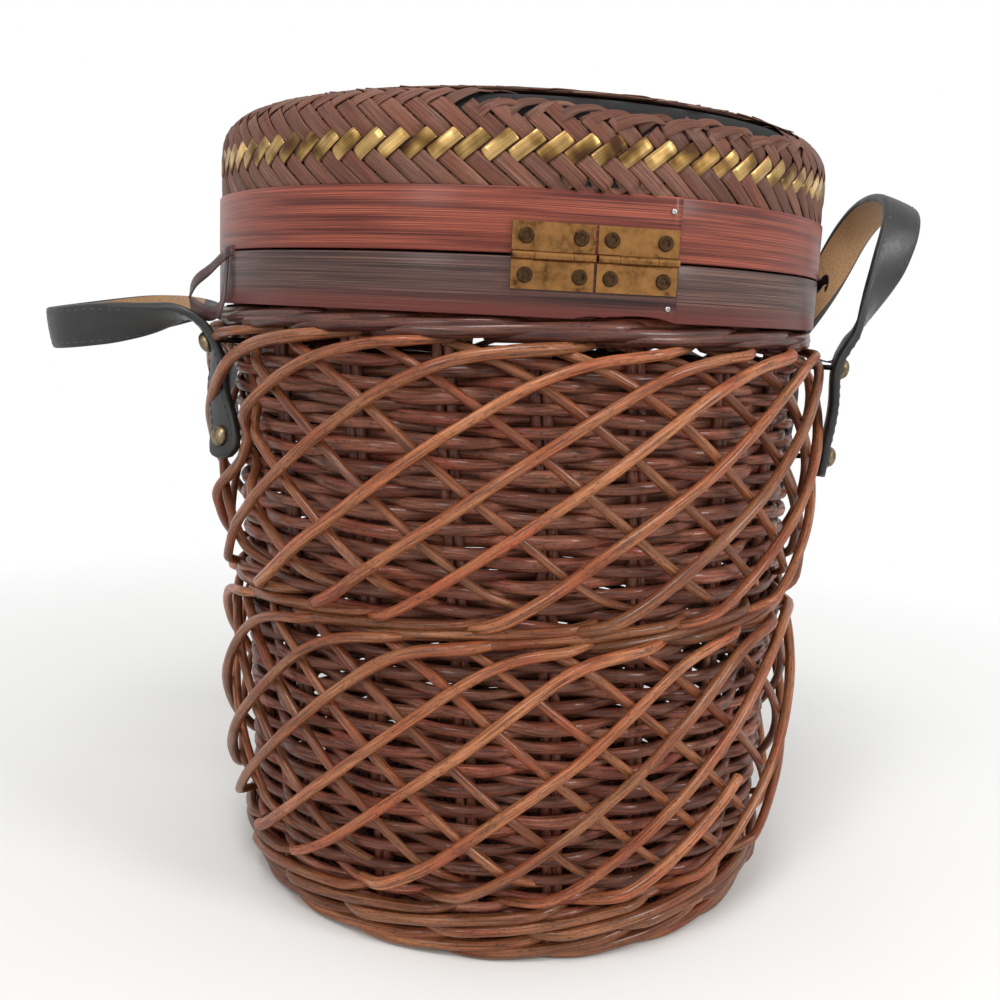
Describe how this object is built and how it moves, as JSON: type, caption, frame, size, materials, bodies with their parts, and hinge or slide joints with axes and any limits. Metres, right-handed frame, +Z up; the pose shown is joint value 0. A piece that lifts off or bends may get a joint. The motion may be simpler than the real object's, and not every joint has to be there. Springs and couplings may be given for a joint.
{
  "type": "wicker storage basket",
  "caption": "Round wicker storage basket with a rod lattice over its woven wall, a plaited lid on two butt hinges, bent wood hoops at the rim and riveted leather strap handles.",
  "frame": {"origin": "centre of the round foot, on the surface that the basket stands on", "axes": "+Z up along the basket's axis, -Y towards the hinges, +X towards the raised handle"},
  "size_m": [0.4376, 0.3145, 0.3744],
  "materials": {
    "willow_wall": "stained willow rods, satin varnish",
    "willow_stakes": "stained willow stakes",
    "willow_lattice": "peeled willow, orange-brown varnish",
    "bamboo_hoop_lid": "split bamboo stained red-brown, satin",
    "bamboo_hoop_basket": "split bamboo stained dark grey-brown, satin",
    "steel_nail": "bright small nail",
    "hinge_brass": "aged rolled brass",
    "hinge_screws": "dark tarnished brass",
    "plait": "dyed split bamboo strips, dull",
    "brass_strips": "thin brass-coloured foil strips, worn",
    "black_lining": "black lining board",
    "black_leather": "black grained leather, stitched edge",
    "tan_suede": "tan split leather",
    "aged_brass_rivet": "aged domed rivet",
    "black_wire": "black lacquered wire",
    "brown_strip": "thin brown strip"
  },
  "bodies": {
    "basket": {"foot_border": "willow_wall", "foot_band": "willow_wall", "base_sticks": "willow_stakes", "base_weave": "willow_wall", "wall_weave": "willow_wall", "stakes": "willow_stakes", "lower_lattice_inner": "willow_lattice", "lower_lattice_outer": "willow_lattice", "waist_band": "willow_wall", "upper_lattice_inner": "willow_lattice", "upper_lattice_outer": "willow_lattice", "top_border": "willow_wall", "basket_hoop": "bamboo_hoop_basket", "basket_inner_hoop": "bamboo_hoop_basket", "basket_hoop_nail": "steel_nail", "basket_hinge_leaf_left": "hinge_brass", "basket_hinge_leaf_right": "hinge_brass", "basket_hinge_screws": "hinge_screws", "hinge_pin_left": "hinge_brass", "hinge_pin_right": "hinge_brass", "handle_tabs_left": "black_leather", "handle_tabs_right": "black_leather", "handle_rivets": "aged_brass_rivet", "handle_washers": "aged_brass_rivet", "wire_ties": "black_wire", "lid_stay_left": "brown_strip", "lid_stay_right": "brown_strip"},
    "lid": {"lid_hoop": "bamboo_hoop_lid", "lid_inner_hoop": "bamboo_hoop_lid", "lid_hoop_nail": "steel_nail", "lid_hinge_leaf_left": "hinge_brass", "lid_hinge_leaf_right": "hinge_brass", "lid_hinge_screws": "hinge_screws", "lid_plait": "plait", "lid_brass_strips": "brass_strips", "lid_lining": "black_lining", "lid_top_panel": "plait"},
    "handle_left": {"handle_strap_left": "black_leather", "handle_lining_left": "tan_suede"},
    "handle_right": {"handle_strap_right": "black_leather", "handle_lining_right": "tan_suede"}
  },
  "joints": [
    {"name": "lid_hinge", "type": "hinge", "parent": "basket", "child": "lid", "pos_m": [0, -0.1486, 0.3074], "axis": [1, 0, 0], "range_deg": [0, 100]},
    {"name": "handle_left_bend", "type": "hinge", "parent": "basket", "child": "handle_left", "pos_m": [-0.15856, 0.02228, 0.28025], "axis": [0.1392, 0.9903, 0], "range_deg": [-16, 89]},
    {"name": "handle_right_bend", "type": "hinge", "parent": "basket", "child": "handle_right", "pos_m": [0.165, -0.02319, 0.28025], "axis": [-0.1392, -0.9903, 0], "range_deg": [-96, 9]}
  ]
}
